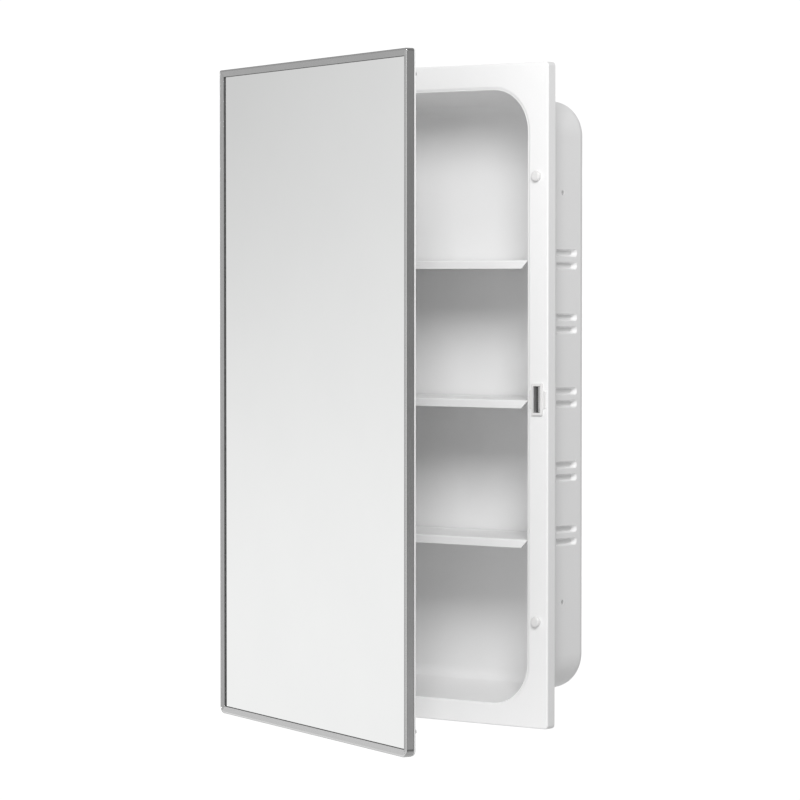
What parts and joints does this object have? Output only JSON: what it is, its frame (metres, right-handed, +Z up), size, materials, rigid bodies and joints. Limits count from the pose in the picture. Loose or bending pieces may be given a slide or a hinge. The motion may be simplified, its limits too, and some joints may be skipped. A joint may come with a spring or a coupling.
{
  "type": "recessed medicine cabinet",
  "caption": "Recessed steel medicine cabinet with a hinged, stainless-framed mirror door, adjustable shelves and a magnetic catch.",
  "frame": {"origin": "on the rear face of the back panel, midway between the walls and level with the middle shelf slots and the catch", "axes": "+Z up, -Y out of the front of the cabinet, +X to the right as seen from the front"},
  "size_m": [0.4032, 0.2819, 0.6604],
  "materials": {
    "white_enamel": "baked white enamel with a soft gloss",
    "stainless": "brushed stainless steel, grain along each member",
    "mirror": "silvered glass",
    "white_plastic": "moulded white plastic",
    "bumper_plastic": "soft white plastic",
    "ferrite": "dark matt ferrite",
    "plated_steel": "zinc-plated steel",
    "hinge_steel": "plated steel strip",
    "board": "plain fibre board"
  },
  "bodies": {
    "cabinet": {"cabinet_body": "white_enamel", "bumper_upper": "bumper_plastic", "bumper_lower": "bumper_plastic", "catch_housing": "white_plastic", "catch_magnet": "ferrite", "catch_pole_plates": "plated_steel", "hinge_leaf_cabinet": "hinge_steel", "hinge_rivets_cabinet": "hinge_steel", "hinge_pin": "hinge_steel"},
    "door": {"frame_top": "stainless", "frame_bottom": "stainless", "frame_left": "stainless", "frame_right": "stainless", "mirror_glass": "mirror", "backing_board": "board", "door_back_pan": "white_enamel", "corner_keys": "plated_steel", "corner_screws": "plated_steel", "hinge_leaf_door": "hinge_steel", "hinge_rivets_door": "hinge_steel", "strike_plate": "plated_steel", "strike_rivets": "plated_steel"},
    "upper_shelf": {"shelf_upper": "white_enamel"},
    "middle_shelf": {"shelf_middle": "white_enamel"},
    "lower_shelf": {"shelf_lower": "white_enamel"}
  },
  "joints": [
    {"name": "door_swing", "type": "hinge", "parent": "cabinet", "child": "door", "pos_m": [-0.199, -0.1036, 0], "axis": [0, 0, -1], "range_deg": [-24.5, 135.5]},
    {"name": "upper_shelf_slide", "type": "slide", "parent": "cabinet", "child": "upper_shelf", "axis": [0, -1, 0], "range_m": [0, 0.007]},
    {"name": "middle_shelf_slide", "type": "slide", "parent": "cabinet", "child": "middle_shelf", "axis": [0, -1, 0], "range_m": [0, 0.007]},
    {"name": "lower_shelf_slide", "type": "slide", "parent": "cabinet", "child": "lower_shelf", "axis": [0, -1, 0], "range_m": [0, 0.007]}
  ]
}
